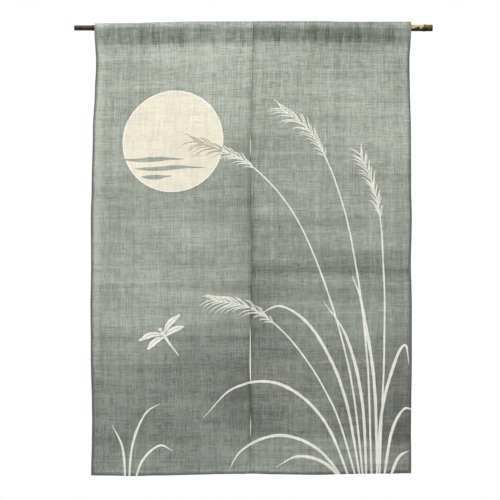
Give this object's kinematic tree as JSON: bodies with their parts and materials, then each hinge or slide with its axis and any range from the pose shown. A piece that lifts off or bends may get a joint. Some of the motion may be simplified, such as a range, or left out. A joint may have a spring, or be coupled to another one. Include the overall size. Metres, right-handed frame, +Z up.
{
  "type": "noren curtain on a bamboo pole",
  "caption": "Split hemp door curtain: twin flat panels hang by a sewn sleeve on a slim bamboo pole, joined by a seam above a long slit.",
  "frame": {"origin": "on the pole's axis, halfway along the pole, where wall hooks would hold it up", "axes": "+Z up, +X along the pole to the viewer's right, -Y out of the cloth's front face"},
  "size_m": [0.95, 0.0224, 1.2084],
  "materials": {
    "hemp": "hand-woven grey-green hemp with uneven threads, matt and slightly sheer",
    "bamboo": "smoked bamboo, mottled from golden tan to dark brown, satin"
  },
  "bodies": {
    "root": {"pole": "bamboo", "panel_left": "hemp", "panel_right": "hemp"}
  },
  "joints": []
}
